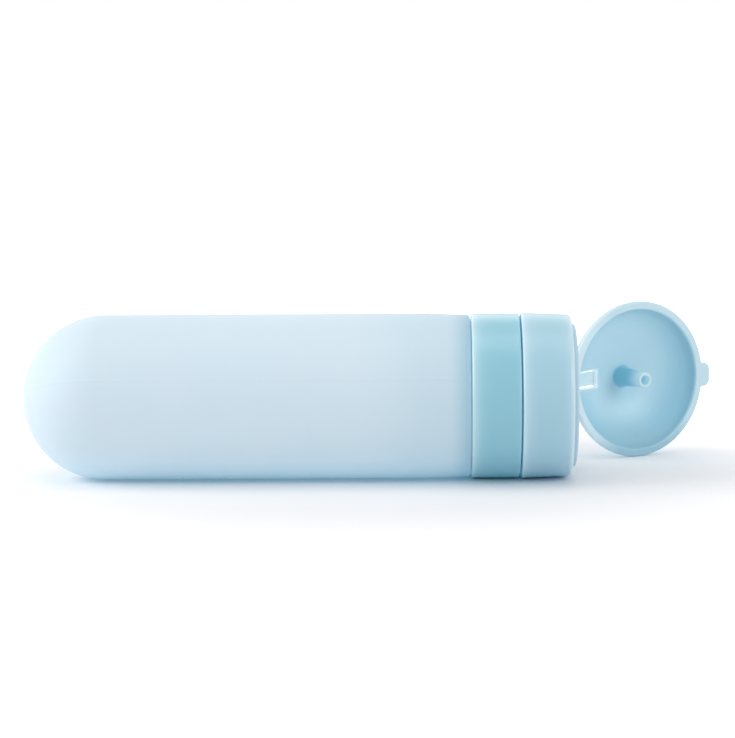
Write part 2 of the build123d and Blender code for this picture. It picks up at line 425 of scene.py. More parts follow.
class CloudyPigment(Effect):
    """Pigment that is a shade deeper in some places than in others."""

    NAME = "cloudy pigment"
    INPUTS = (
        ("Place", Kind.VECTOR, None),
        ("Cloud", Kind.FLOAT, 0.02),
        ("Colour", Kind.COLOUR, WHITE),
        ("Deep Colour", Kind.COLOUR, WHITE),
        ("Depth", Kind.FLOAT, 0.2),
    )
    OUTPUTS = (("Colour", Kind.COLOUR),)
    BROAD_DETAIL, BROAD_SHARE = 2.0, 0.65
    FINE_DETAIL, FINE_SHARE = 3.0, 0.35
    FINE_SIZE = 0.12
    CLOUD_RANGE = (0.3, 0.7)

    def wire(self, w: Wiring, given: dict) -> dict:
        """Mixes the deeper colour in by two layers of noise."""
        broad = w.noise(given["Place"], given["Cloud"], self.BROAD_DETAIL)
        fine_size = w.times(given["Cloud"], self.FINE_SIZE)
        fine = w.noise(given["Place"], fine_size, self.FINE_DETAIL)
        cloud = w.math("MULTIPLY_ADD", fine, self.FINE_SHARE, w.times(broad, self.BROAD_SHARE))
        share = w.times(w.ramp(cloud, *self.CLOUD_RANGE), given["Depth"])
        return {"Colour": w.mix(share, given["Colour"], given["Deep Colour"])}


class ThinEdges(Effect):
    """How near a point is to the ends of a moulding, where its thin edges let light through."""

    NAME = "thin edges"
    INPUTS = (
        ("Along", Kind.FLOAT, 0.0),
        ("Low", Kind.FLOAT, 0.0),
        ("High", Kind.FLOAT, 1.0),
        ("Low Reach", Kind.FLOAT, 0.001),
        ("High Reach", Kind.FLOAT, 0.001),
    )
    OUTPUTS = (("Low Edge", Kind.FLOAT), ("High Edge", Kind.FLOAT))

    def wire(self, w: Wiring, given: dict) -> dict:
        """Measures the way from each end and lets it fade over the reach."""
        from_low = w.math("SUBTRACT", given["Along"], given["Low"])
        from_high = w.math("SUBTRACT", given["High"], given["Along"])
        edges = {}
        for end, way in (("Low", from_low), ("High", from_high)):
            reaches = w.math("DIVIDE", way, given[f"{end} Reach"])
            edges[f"{end} Edge"] = w.fade(w.math("MAXIMUM", reaches, 0.0))
        return edges


class SeepingLight(Effect):
    """How deep a point lies inside the round closure, where light comes through the plastic."""

    NAME = "seeping light"
    INPUTS = (
        ("Place", Kind.VECTOR, None),
        ("Outside", Kind.FLOAT, 0.02),
        ("Skin", Kind.FLOAT, 0.0004),
    )
    OUTPUTS = (("Inside", Kind.FLOAT),)
    OFF_AXIS = (0.0, 1.0, 1.0)
    SKINS_TO_FULL = 2.5

    def wire(self, w: Wiring, given: dict) -> dict:
        """Measures the way to the bottle's axis and takes it from the outer radius."""
        off_axis = w.vector("MULTIPLY", given["Place"], self.OFF_AXIS).outputs[0]
        radius = w.vector("LENGTH", off_axis).outputs["Value"]
        depth = w.math("SUBTRACT", given["Outside"], radius)
        full = w.times(given["Skin"], self.SKINS_TO_FULL)
        return {"Inside": w.ramp(depth, given["Skin"], full)}


class WindowGlow(Effect):
    """How near a point is to the lid's window, whose cut walls let light through."""

    NAME = "window glow"
    INPUTS = (
        ("Across", Kind.FLOAT, 0.0),
        ("Aside", Kind.FLOAT, 0.0),
        ("Depth", Kind.FLOAT, 0.0),
        ("End", Kind.FLOAT, 0.014),
        ("Half Width", Kind.FLOAT, 0.00225),
        ("Bridge", Kind.FLOAT, 0.0018),
        ("Reach", Kind.FLOAT, 0.00018),
    )
    OUTPUTS = (("Glow", Kind.FLOAT),)
    BRIDGE_EDGE = 0.001

    def wire(self, w: Wiring, given: dict) -> dict:
        """Measures the way to the window's outline and lets it fade over the reach."""
        past = w.math("MAXIMUM", w.math("SUBTRACT", given["Across"], given["End"]), 0.0)
        beside = w.math("SUBTRACT", w.math("ABSOLUTE", given["Aside"]), given["Half Width"])
        beside = w.math("MAXIMUM", beside, 0.0)
        glow = w.fade(w.math("DIVIDE", w.way(past, beside), given["Reach"]))
        bridge_end = w.math("ADD", given["Bridge"], self.BRIDGE_EDGE)
        return {"Glow": w.times(glow, w.ramp(given["Depth"], given["Bridge"], bridge_end))}


class LidTones(Effect):
    """Which part of the lid a point is on, from its way off the lid's axis and its depth.

    A sphere halfway through the dome parts its inside from its outside. Besides the bore, the
    parts are painted shade on the wall, on the plug towards its root and low down, and painted
    light on the rim at the hinge side. The wall's painted shade is centred a little off the axis,
    away from the light, and below the plug lies a faint painted shadow.
    """

    NAME = "lid tones"
    INPUTS = (
        ("Across", Kind.FLOAT, 0.0),
        ("Aside", Kind.FLOAT, 0.0),
        ("Depth", Kind.FLOAT, 0.0),
        ("Middle", Kind.FLOAT, 0.0224),
    )
    OUTPUTS = tuple((name, Kind.FLOAT) for name in ("Wall Shade", "Plug Shade", "Bore", "Low", "Near Light"))
    SPHERE_RADIUS = 0.0294
    SPHERE_SET_BACK = 0.0204
    SPHERE_BLUR = 0.0003
    # Painted shade on the dish's wall, centred off the axis, away from the light
    WALL_OFF, WALL_ASIDE = 0.0019, -0.0021
    WALL_WAY = (0.01, 0.019)
    WALL_DEPTH = (0.0002, 0.0012)
    # Painted shade on the plug, deeper towards its root
    ROOT_DEPTH = (-0.0025, 0.0034)
    PLUG_WAY = (0.0024, 0.0034)
    # A faint painted shadow below the plug's root
    SHADE_DROP = 0.002
    SHADE_WAY = (0.0025, 0.0065)
    SHADE_SHARE = 0.22
    BORE_WAY = (0.00128, 0.0014)
    # Painted shade on the lid's low part
    LOW_DROP = (0.009, 0.019)
    # Painted light on the rim at the hinge side
    HINGE_SIDE = (0.004, 0.018)
    RIM_WAY = (0.0172, 0.0182)
    RIM_DEPTH = (0.0006, 0.0018)

    def wire(self, w: Wiring, given: dict) -> dict:
        """Splits the lid into wall, plug, bore, the low part and the rim's side at the hinge, as
        masks for painted shade and light.
        """
        aside, depth = given["Aside"], given["Depth"]
        off = w.math("SUBTRACT", given["Across"], given["Middle"])
        way = w.way(off, aside)
        inside = self._inside(w, way, depth)
        leaned = w.way(w.math("ADD", off, self.WALL_OFF), w.math("ADD", aside, self.WALL_ASIDE))
        wall = w.times(w.ramp(leaned, *self.WALL_WAY), w.ramp(depth, *self.WALL_DEPTH), inside)
        root = w.times(w.ramp(depth, *self.ROOT_DEPTH), inside)
        plug = w.times(w.rest(w.ramp(way, *self.PLUG_WAY)), root)
        # Painted shadow below the plug
        below = w.way(off, w.math("ADD", aside, self.SHADE_DROP))
        shade = w.times(w.rest(w.ramp(below, *self.SHADE_WAY)), root, self.SHADE_SHARE)
        bore = w.times(w.rest(w.ramp(way, *self.BORE_WAY)), inside)
        low = w.times(w.ramp(w.math("MULTIPLY", aside, -1.0), *self.LOW_DROP), inside)
        near = w.times(
            w.ramp(way, *self.RIM_WAY),
            w.rest(w.ramp(given["Across"], *self.HINGE_SIDE)),
            w.rest(w.ramp(depth, *self.RIM_DEPTH)),
        )
        plug = w.math("MAXIMUM", plug, shade)
        return {"Wall Shade": wall, "Plug Shade": plug, "Bore": bore, "Low": low, "Near Light": near}

    def _inside(self, w: Wiring, way: object, depth: object) -> bpy.types.NodeSocket:
        """Whether a point is on the dome's inner side of the parting sphere."""
        square = w.math("SUBTRACT", self.SPHERE_RADIUS**2, w.math("POWER", way, 2.0))
        sphere = w.math("SUBTRACT", w.math("SQRT", square), self.SPHERE_SET_BACK)
        return w.ramp(w.math("SUBTRACT", sphere, depth), -self.SPHERE_BLUR, self.SPHERE_BLUR)


class RubMarks(Effect):
    """Faint rubbed patches and hairline marks from handling."""

    NAME = "rub marks"
    INPUTS = (
        ("Place", Kind.VECTOR, None),
        ("Patch", Kind.FLOAT, 0.012),
        ("Hairline", Kind.FLOAT, 0.0009),
    )
    OUTPUTS = (("Rubbed", Kind.FLOAT), ("Hairlines", Kind.FLOAT))
    PATCH_DETAIL, PATCH_RANGE = 3.0, (0.5, 0.72)
    HAIRLINE_DETAIL, HAIRLINE_RANGE = 1.0, (0.66, 0.72)
    HAIRLINE_STRETCH = (0.12, 1.0, 1.0)
    HAIRLINE_TURN = (0.0, 0.35, 0.6)

    def wire(self, w: Wiring, given: dict) -> dict:
        """Cuts patches out of broad noise, and hairlines out of stretched noise inside them."""
        patches = w.noise(given["Place"], given["Patch"], self.PATCH_DETAIL)
        rubbed = w.ramp(patches, *self.PATCH_RANGE)
        stretched = w.stretch(given["Place"], self.HAIRLINE_STRETCH, self.HAIRLINE_TURN)
        fine = w.noise(stretched, given["Hairline"], self.HAIRLINE_DETAIL)
        lines = w.ramp(fine, *self.HAIRLINE_RANGE)
        return {"Rubbed": rubbed, "Hairlines": w.times(lines, rubbed)}


MOULD_GRAIN = MouldGrain()
CLOUDY_PIGMENT = CloudyPigment()
THIN_EDGES = ThinEdges()
SEEPING_LIGHT = SeepingLight()
WINDOW_GLOW = WindowGlow()
LID_TONES = LidTones()
RUB_MARKS = RubMarks()


# Finishes


@dataclass(frozen=True)
class EdgeLight:
    """Where a moulding's paler edges lie, painted light at its thin ends: along a direction, from
    a low to a high place.
    """

    direction: Xyz
    low: float
    high: float
    low_reach: float
    high_reach: float
    low_share: float
    high_share: float


@dataclass(frozen=True)
class UnderLight:
    """The light under a moulding, and the one where it touches the floor, by the way down."""

    colour: Rgba
    start: float = 0.0155
    touch: Rgba = BLACK
    full: float = 0.0195
    touch_start: float = 0.0194
    touch_full: float = 0.0198


@dataclass(frozen=True)
class SeepLight:
    """The light in a moulding's gaps, from its outer radius inwards and between two places."""

    colour: Rgba
    outside: float = 0.02
    skin: float = 0.0004
    past: float = -0.035
    until: float = 0.0
    edge: float = 0.001
    dim_start: float = 0.008
    dim_end: float = 0.0195
    dimmed: float = 0.55


@dataclass(frozen=True)
class MouldedFinish:
    """A moulding coloured through, matte or satin, that lets a little light in."""

    name: str
    tint: Tint
    deep: Tint
    pale: Tint
    roughness: float
    grain: float
    glow: float
    glow_reach: float
    grain_height: float = 0.00003
    sheen: float = 0.0
    specular: float = 0.5
    coat: float = 0.0
    waviness: float = 1.0
    edges: EdgeLight | None = None
    skin_light: Rgba = BLACK
    under: UnderLight | None = None
    seep: SeepLight | None = None

    WAVE = 0.007
    CLOUD = 0.018
    PIGMENT_DEPTH = 0.25
    FLECK_ROUGHNESS = 0.06
    RUBBED_ROUGHNESS = -0.05
    HAIRLINE_ROUGHNESS = 0.08
    HAIRLINE_SHARE = 0.1
    BUMP_STRENGTH = 0.35
    GLOW_RADIUS = (0.7, 0.9, 1.0)
    SHEEN_ROUGHNESS = 0.45
    COAT_ROUGHNESS = 0.35
    IOR = 1.46

    def material(self) -> bpy.types.Material:
        """Builds the material.

        Returns:
            The material, which reads object coordinates only.
        """
        surface = Surface.named(self.name)
        w, place = surface.wiring, surface.place
        grain = MOULD_GRAIN.place(
            w, Place=place, Grain=self.grain, Wave=self.WAVE, Waviness=self.waviness
        )
        pigment = CLOUDY_PIGMENT.place(
            w,
            Place=place,
            Cloud=self.CLOUD,
            Colour=self.tint.linear(),
            Deep_Colour=self.deep.linear(),
            Depth=self.PIGMENT_DEPTH,
        )
        marks = RUB_MARKS.place(w, Place=place)
        colour = self._edged(w, place, pigment["Colour"])
        scratched = w.times(marks["Hairlines"], self.HAIRLINE_SHARE)
        colour = w.mix(scratched, colour, self.pale.linear())
        even = self.roughness - self.FLECK_ROUGHNESS / 2
        rough = w.math("MULTIPLY_ADD", grain["Fleck"], self.FLECK_ROUGHNESS, even)
        rough = w.math("MULTIPLY_ADD", marks["Rubbed"], self.RUBBED_ROUGHNESS, rough)
        rough = w.math("ADD", rough, w.times(marks["Hairlines"], self.HAIRLINE_ROUGHNESS))
        surface.set({
            "Base Color": self._toned(w, place, colour),
            "Roughness": rough,
            "Normal": w.bump(grain["Height"], self.BUMP_STRENGTH, self.grain_height),
            "Subsurface Weight": self.glow,
            "Subsurface Radius": self.GLOW_RADIUS,
            "Subsurface Scale": self.glow_reach,
            "Sheen Weight": self.sheen,
            "Sheen Roughness": self.SHEEN_ROUGHNESS,
            "Specular IOR Level": self.specular,
            "IOR": self.IOR,
            "Coat Weight": self.coat,
            "Coat Roughness": self.COAT_ROUGHNESS,
            "Emission Color": self._lit_through(w, place),
            "Emission Strength": 1.0,
        })
        return surface.material

    def _lit_through(self, w: Wiring, place: object) -> object:
        """The little light that comes through, and the other light underneath and in the gaps."""
        light = self.skin_light
        if self.under is not None:
            under, down = self.under, w.dot(place, DOWN)
            light = w.mix(w.ramp(down, under.start, under.full), light, under.colour)
            light = w.mix(w.ramp(down, under.touch_start, under.touch_full), light, under.touch)
        if self.seep is not None:
            light = w.mix(self._seeping(w, place, self.seep), light, self.seep.colour)
        return light

    def _seeping(self, w: Wiring, place: object, seep: SeepLight) -> bpy.types.NodeSocket:
        """How much of the gaps' light shows at a point; near the floor it is dimmed."""
        gap = SEEPING_LIGHT.place(w, Place=place, Outside=seep.outside, Skin=seep.skin)
        low = w.ramp(w.dot(place, DOWN), seep.dim_start, seep.dim_end)
        dimmed = w.math("MULTIPLY_ADD", low, -seep.dimmed, 1.0)
        along = w.dot(place, ALONG)
        past = w.ramp(along, seep.past, seep.past + seep.edge)
        before = w.rest(w.ramp(along, seep.until - seep.edge, seep.until))
        return w.times(gap["Inside"], dimmed, past, before)

    def _edged(self, w: Wiring, place: object, colour: object) -> object:
        """Mixes the paler colour in at the thin edges, as painted light."""
        if self.edges is None:
            return colour
        e = self.edges
        share = THIN_EDGES.place(
            w,
            Along=w.dot(place, e.direction),
            Low=e.low,
            High=e.high,
            Low_Reach=e.low_reach,
            High_Reach=e.high_reach,
        )
        low = w.times(share["Low Edge"], e.low_share)
        high = w.times(share["High Edge"], e.high_share)
        return w.mix(w.math("MAXIMUM", low, high, clamp=True), colour, self.pale.linear())

    def _toned(self, w: Wiring, place: object, colour: object) -> object:
        """Leaves the colour as it is; a finish with more tones adds them here."""
        return colour


@dataclass(frozen=True)
class SiliconeSkin(MouldedFinish):
    """The body's powdery silicone, with painted shade deepening it towards the neck, over the
    insert behind its wall.
    """

    # Painted shade towards the neck, over the insert's skirt
    neck_shade_tint: Tint = Tint.BODY_NECK_SHADE
    approach_start: float = -0.055
    approach_share: float = 0.2
    skirt_end: float = -0.031
    neck_end: float = -0.0245
    neck_share: float = 0.7

    def _toned(self, w: Wiring, place: object, colour: object) -> object:
        """Paints shade: deepens the colour a little towards the insert's skirt, and more over it.
        """
        along = w.dot(place, ALONG)
        near = w.times(w.ramp(along, self.approach_start, self.skirt_end), self.approach_share)
        over = w.times(w.ramp(along, self.skirt_end, self.neck_end), self.neck_share)
        return w.mix(w.math("ADD", near, over, clamp=True), colour, self.neck_shade_tint.linear())


@dataclass(frozen=True)
class LidSkin(MouldedFinish):
    """The lid's satin plastic, with painted shade on its walls, plug and low part, painted light
    on its rim at the hinge, and lit through round its window.
    """

    # Painted shade on the wall, plug and low part
    wall: Tint = Tint.LID_WALL_SHADE
    plug: Tint = Tint.LID_PLUG_SHADE
    low: Tint = Tint.LID_LOW_SHADE
    # Painted light on the rim at the hinge side
    near: Tint = Tint.LID_NEAR_LIGHT
    window_light: Rgba = (0.34, 0.3, 0.27, 1.0)
    bore_light: Rgba = (0.14, 0.2, 0.22, 1.0)

    def _in_lid(self, w: Wiring, place: object) -> dict:
        """A point's way across the lid from its hinge, to its side and into its dome."""
        spot = w.vector("SUBTRACT", place, HINGE).outputs[0]
        return {
            "Across": w.dot(spot, LID_ACROSS),
            "Aside": w.dot(spot, UP),
            "Depth": w.dot(spot, LID_OUTWARD),
        }

    def _toned(self, w: Wiring, place: object, colour: object) -> object:
        """Paints shade on the wall, low down and on the plug, and paints light on the rim at the
        hinge.
        """
        tones = LID_TONES.place(w, **self._in_lid(w, place))
        colour = w.mix(tones["Wall Shade"], colour, self.wall.linear())
        colour = w.mix(tones["Low"], colour, self.low.linear())
        colour = w.mix(tones["Near Light"], colour, self.near.linear())
        return w.mix(tones["Plug Shade"], colour, self.plug.linear())

    def _lit_through(self, w: Wiring, place: object) -> object:
        """The light that comes through the lid, more in its plug's bore and round its window."""
        spot = self._in_lid(w, place)
        bore = LID_TONES.place(w, **spot)["Bore"]
        glow = WINDOW_GLOW.place(w, **spot)["Glow"]
        return w.mix(glow, w.mix(bore, self.skin_light, self.bore_light), self.window_light)


@dataclass(frozen=True)
class ClearRubber:
    """Thin natural silicone, milky and half clear."""

    name: str
    tint: Tint
    roughness: float
    clearness: float

    GRAIN, WAVE = 0.0002, 0.003
    CLOUD = 0.004
    PIGMENT_DEPTH = 0.5
    FLECK_ROUGHNESS = 0.12
    BUMP_STRENGTH, BUMP_HEIGHT = 0.3, 0.00004
    GLOW, GLOW_REACH = 0.3, 0.001
    IOR = 1.41

    def material(self) -> bpy.types.Material:
        """Builds the material.

        Returns:
            The material, which reads object coordinates only.
        """
        surface = Surface.named(self.name)
        w, place = surface.wiring, surface.place
        grain = MOULD_GRAIN.place(w, Place=place, Grain=self.GRAIN, Wave=self.WAVE, Waviness=1.0)
        pigment = CLOUDY_PIGMENT.place(
            w,
            Place=place,
            Cloud=self.CLOUD,
            Colour=self.tint.linear(),
            Deep_Colour=Tint.BODY.linear(),
            Depth=self.PIGMENT_DEPTH,
        )
        even = self.roughness - self.FLECK_ROUGHNESS / 2
        surface.set({
            "Base Color": pigment["Colour"],
            "Roughness": w.math("MULTIPLY_ADD", grain["Fleck"], self.FLECK_ROUGHNESS, even),
            "Normal": w.bump(grain["Height"], self.BUMP_STRENGTH, self.BUMP_HEIGHT),
            "Transmission Weight": self.clearness,
            "IOR": self.IOR,
            "Subsurface Weight": self.GLOW,
            "Subsurface Scale": self.GLOW_REACH,
        })
        return surface.material


@dataclass(frozen=True)
class TurnedSteel:
    """A drawn steel pin with fine turning rings along it and a slight stain."""

    name: str
    tint: Tint
    ring_pitch: float

    RING_STRETCH = (0.08, 0.08, 1.0)
    RING_DETAIL = 2.0
    STAIN = 0.0015
    STAIN_DEPTH = 0.25
    SMOOTH, RING_ROUGHNESS = 0.2, 0.2
    BUMP_STRENGTH, BUMP_HEIGHT = 0.25, 0.00002

    def material(self) -> bpy.types.Material:
        """Builds the material.

        Returns:
            The material, which reads object coordinates only.
        """
        surface = Surface.named(self.name)
        w, place = surface.wiring, surface.place
        rings = w.noise(w.stretch(place, self.RING_STRETCH), self.ring_pitch, self.RING_DETAIL)
        pigment = CLOUDY_PIGMENT.place(
            w,
            Place=place,
            Cloud=self.STAIN,
            Colour=self.tint.linear(),
            Deep_Colour=Tint.PLATE.linear(),
            Depth=self.STAIN_DEPTH,
        )
        surface.set({
            "Base Color": pigment["Colour"],
            "Roughness": w.math("MULTIPLY_ADD", rings, self.RING_ROUGHNESS, self.SMOOTH),
            "Normal": w.bump(rings, self.BUMP_STRENGTH, self.BUMP_HEIGHT),
            "Metallic": 1.0,
        })
        return surface.material


# Sub-assemblies


SMOOTH_ANGLE = math.radians(35.0)


def finished(bm: bmesh.types.BMesh, name: str, material: bpy.types.Material) -> bpy.types.Object:
    """Turns a mesh under construction into an object at the origin, shaded smooth.

    Args:
        bm: The finished mesh, which is freed.
        name: The object's name.
        material: Its material.

    Returns:
        The new object.
    """
    mesh = bpy.data.meshes.new(name)
    bm.to_mesh(mesh)
    bm.free()
    mesh.materials.append(material)
    made = bpy.data.objects.new(name, mesh)
    bpy.context.scene.collection.objects.link(made)
    mesh.shade_smooth()
    mesh.set_sharp_from_angle(angle=SMOOTH_ANGLE)
    return made


@dataclass
class CadPart:
    """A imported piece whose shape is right, which only needs its finish."""

    node: str
    finish: MouldedFinish | ClearRubber | TurnedSteel

    def dress(self) -> None:
        """Gives the piece its material."""
        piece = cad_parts[self.node]
        made = self.finish.material()
        if piece.data.materials:
            for place in range(len(piece.data.materials)):
                piece.data.materials[place] = made
        else:
            piece.data.materials.append(made)
        low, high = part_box(self.node)
        LOG.info("%s dressed as %s, %.1f mm long", self.node, made.name, (high.x - low.x) / MM)


@dataclass
class SoftBody:
    """The squeeze body: a tube with a round tail, a neck for the ring and a parting line."""

    finish: SiliconeSkin
    radius: float = 20.0 * MM
    wall: float = 2.0 * MM
    tail: float = -133.63 * MM
    end: float = -25.33 * MM
    end_radius: float = 19.5 * MM
    end_round: float = 0.7 * MM
    end_segments: int = 5
    taper: float = 17.0 * MM
    taper_shares: tuple[float, ...] = (0.0, 0.25, 0.5, 0.75, 0.9)
    neck_radius: float = 18.0 * MM
    neck_end: float = -15.82 * MM
    seat_radius: float = 15.85 * MM
    seat_start: float = -33.53 * MM
    seat_slope: float = 3.0 * MM
    seam_tilt: float = 18.0
    seam_half_width: float = 0.17 * MM
    seam_height: float = 0.03 * MM
    steps: int = 180
    tail_steps: int = 40

    CUT_DISTANCE = 1e-7
    MERGE_DISTANCE = 1e-6
    SEAM_MIDDLE = 0.2
    OUTER_PART = 0.6

    def _arc(self, bm: bmesh.types.BMesh, radius: float, flip: bool) -> list:
        """Adds a quarter circle round the tail's centre.

        Args:
            bm: The mesh being built.
            radius: The circle's radius.
            flip: Whether it runs from the side to the axis.

        Returns:
            Its vertices, in order.
        """
        centre = Vector((self.tail + self.radius, 0.0, 0.0))
        start = centre + Vector((0.0, 0.0, radius) if flip else (-radius, 0.0, 0.0))
        first = bm.verts.new(start)
        made = bmesh.ops.spin(
            bm,
            geom=[first],
            cent=centre,
            axis=(0.0, 1.0, 0.0),
            angle=math.radians(-90.0 if flip else 90.0),
            steps=self.tail_steps,
        )
        last = next(v for v in made["geom_last"] if isinstance(v, bmesh.types.BMVert))
        chain = [first]
        while chain[-1] is not last:
            end = chain[-1]
            edge = next(e for e in end.link_edges if e.other_vert(end) not in chain[-2:])
            chain.append(edge.other_vert(end))
        return chain

    def _half_section(self, bm: bmesh.types.BMesh) -> None:
        """Draws the wall's half section in the XZ plane.

        Args:
            bm: The mesh being built.
        """
        taper_start = self.end - self.taper
        drop = self.radius - self.end_radius
        side = [
            (taper_start + self.taper * share, self.radius - drop * share * share)
            for share in self.taper_shares
        ]
        corner = (self.end, self.end_radius)
        inside = [
            (self.end, self.neck_radius),
            (self.neck_end, self.neck_radius),
            (self.neck_end, self.seat_radius),
            (self.seat_start, self.seat_radius),
            (self.seat_start - self.seat_slope, self.radius - self.wall),
        ]
        outer = self._arc(bm, self.radius, False)
        drawn = [bm.verts.new((x, 0.0, z)) for x, z in side + [corner] + inside]
        inner = self._arc(bm, self.radius - self.wall, True)
        chain = outer + drawn + inner
        for a, b in zip(chain, chain[1:]):
            if not any(e.other_vert(a) is b for e in a.link_edges):
                bm.edges.new((a, b))
        bmesh.ops.bevel(
            bm,
            geom=[drawn[len(side)]],
            offset=self.end_round,
            offset_type="OFFSET",
            segments=self.end_segments,
            profile=0.5,
            affect="VERTICES",
            material=-1,
        )

    def _raise_seam(self, bm: bmesh.types.BMesh) -> None:
        """Cuts a narrow band along the mould's parting plane and lifts its middle.

        Args:
            bm: The mesh being built.
        """
        tilt = math.radians(self.seam_tilt)
        across = Vector((0.0, math.sin(tilt), math.cos(tilt)))
        for offset in (-self.seam_half_width, self.seam_half_width):
            bmesh.ops.bisect_plane(
                bm,
                geom=bm.verts[:] + bm.edges[:] + bm.faces[:],
                dist=self.CUT_DISTANCE,
                plane_co=across * offset,
                plane_no=across,
            )
        tail_centre = self.tail + self.radius
        for vert in bm.verts:
            if abs(vert.co.dot(across)) > self.SEAM_MIDDLE * self.seam_half_width:
                continue
            out = vert.co - Vector((max(vert.co.x, tail_centre), 0.0, 0.0))
            outside = out.length > self.radius - self.OUTER_PART * self.wall
            if outside and vert.co.x < self.end - self.end_round:
                vert.co += out.normalized() * self.seam_height

    def build(self) -> None:
        """Builds and dresses the body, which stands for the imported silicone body."""
        bm = bmesh.new()
        self._half_section(bm)
        bmesh.ops.spin(
            bm,
            geom=bm.verts[:] + bm.edges[:],
            cent=(0.0, 0.0, 0.0),
            axis=ALONG,
            angle=math.tau,
            steps=self.steps,
            use_merge=True,
        )
        bmesh.ops.remove_doubles(bm, verts=bm.verts, dist=self.MERGE_DISTANCE)
        self._raise_seam(bm)
        bmesh.ops.recalc_face_normals(bm, faces=bm.faces)
        piece = finished(bm, "soft_body", self.finish.material())
        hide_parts("silicone_body")
        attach(piece, "bottle")
        LOG.info("soft_body built with %d faces", len(piece.data.polygons))


@dataclass
class NeckFittings:
    """The hard insert in the silicone neck, its washer and the teal ring that clamps them."""

    ring_low: float = -25.08 * MM
    ring_high: float = -13.52 * MM

    def parts(self) -> list[CadPart]:
        """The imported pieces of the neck, with their finishes."""
        insert = MouldedFinish(
            "milky neck plastic", Tint.INSERT, Tint.BODY, Tint.INSERT_PALE,
            roughness=0.34, grain=0.0004, glow=0.4, glow_reach=0.003,
        )
        ring = MouldedFinish(
            "teal satin plastic", Tint.RING, Tint.RING, Tint.RING_PALE,
            roughness=0.38, grain=0.00035, glow=0.3, glow_reach=0.0012, coat=0.8, specular=0.6,
            skin_light=(0.0, 0.004, 0.016, 1.0),
            under=UnderLight((0.006, 0.05, 0.075, 1.0)),
            seep=SeepLight((0.04, 0.15, 0.205, 1.0), until=-0.015),
            edges=EdgeLight(
                ALONG, self.ring_low, self.ring_high,
                low_reach=0.0012, high_reach=0.0004, low_share=0.85, high_share=0.2,
            ),
        )
        seal = MouldedFinish(
            "white washer silicone", Tint.SEAL, Tint.BODY, Tint.INSERT_PALE,
            roughness=0.55, grain=0.0003, glow=0.4, glow_reach=0.001, sheen=0.2,
        )
        return [
            CadPart("neck_insert", insert),
            CadPart("collar_ring", ring),
            CadPart("neck_seal", seal),
        ]


@dataclass
class Closure:
    """The screw cap with its orifice plate, drip valve, valve retainer and hinge pin."""

    cap_low: float = -13.17 * MM
    cap_high: float = -1.05 * MM

    def parts(self) -> list[CadPart]:
        """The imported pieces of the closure, with their finishes."""
        cap = MouldedFinish(
            "light blue satin plastic", Tint.CAP, Tint.CAP, Tint.CAP_PALE,
            roughness=0.42, grain=0.00035, glow=0.3, glow_reach=0.0014, coat=0.5, specular=0.6,
            skin_light=(0.008, 0.014, 0.04, 1.0),
            under=UnderLight((0.0, 0.028, 0.062, 1.0)),
            seep=SeepLight((0.018, 0.19, 0.28, 1.0), until=-0.0112),
            edges=EdgeLight(
                ALONG, self.cap_low, self.cap_high,
                low_reach=0.0011, high_reach=0.0009, low_share=0.72, high_share=0.75,
            ),
        )
        plate = MouldedFinish(
            "plate satin plastic", Tint.PLATE, Tint.CAP, Tint.PLATE_PALE,
            roughness=0.4, grain=0.0003, glow=0.3, glow_reach=0.0012,
        )
        retainer = MouldedFinish(
            "retainer satin plastic", Tint.PLATE, Tint.CAP, Tint.PLATE_PALE,
            roughness=0.46, grain=0.0003, glow=0.3, glow_reach=0.0012,
        )
        valve = ClearRubber("clear valve silicone", Tint.VALVE, roughness=0.4, clearness=0.45)
        pin = TurnedSteel("drawn pin steel", Tint.STEEL, ring_pitch=0.00012)
        return [
            CadPart("screw_cap", cap),
            CadPart("orifice_plate", plate),
            CadPart("drip_valve", valve),
            CadPart("valve_retainer", retainer),
            CadPart("hinge_pin", pin),
        ]


@dataclass
class OpenLid:
    """The domed flip lid and the leaf in its window."""

    dome: float = 20.0 * MM

    def parts(self) -> list[CadPart]:
        """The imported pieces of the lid, with their finishes."""
        towards_rim = -Vector(LID_OUTWARD)
        rim = Vector(HINGE).dot(towards_rim)
        lid = LidSkin(
            "lid satin plastic", Tint.LID, Tint.CAP, Tint.LID_PALE,
            roughness=0.4, grain=0.00035, glow=0.4, glow_reach=0.0018,
            skin_light=(0.07, 0.09, 0.105, 1.0),
            edges=EdgeLight(
                tuple(towards_rim), rim - self.dome, rim,
                low_reach=0.0001, high_reach=0.0006, low_share=0.0, high_share=0.55,
            ),
        )
        leaf = MouldedFinish(
            "leaf satin plastic", Tint.LEAF, Tint.CAP, Tint.LID_PALE,
            roughness=0.4, grain=0.0003, glow=0.6, glow_reach=0.002,
        )
        return [CadPart("flip_lid", lid), CadPart("hinge_leaf", leaf)]


# Studio


@dataclass(frozen=True)
class Softbox:
    """A large soft lamp, aimed at a point of the bottle."""

    name: str
    place: Xyz
    aim: Xyz
    width: float
    height: float
    power: float

    def build(self) -> None:
        """Adds the lamp, which pictures don't show."""
        data = bpy.data.lights.new(self.name, "AREA")
        data.shape = "RECTANGLE"
        data.size = self.width
        data.size_y = self.height
        data.energy = self.power
        lamp = bpy.data.objects.new(self.name, data)
        lamp.location = self.place
        away = Vector(self.place) - Vector(self.aim)
        lamp.rotation_euler = away.to_track_quat("Z", "Y").to_euler()
        lamp.visible_camera = False
        bpy.context.scene.collection.objects.link(lamp)


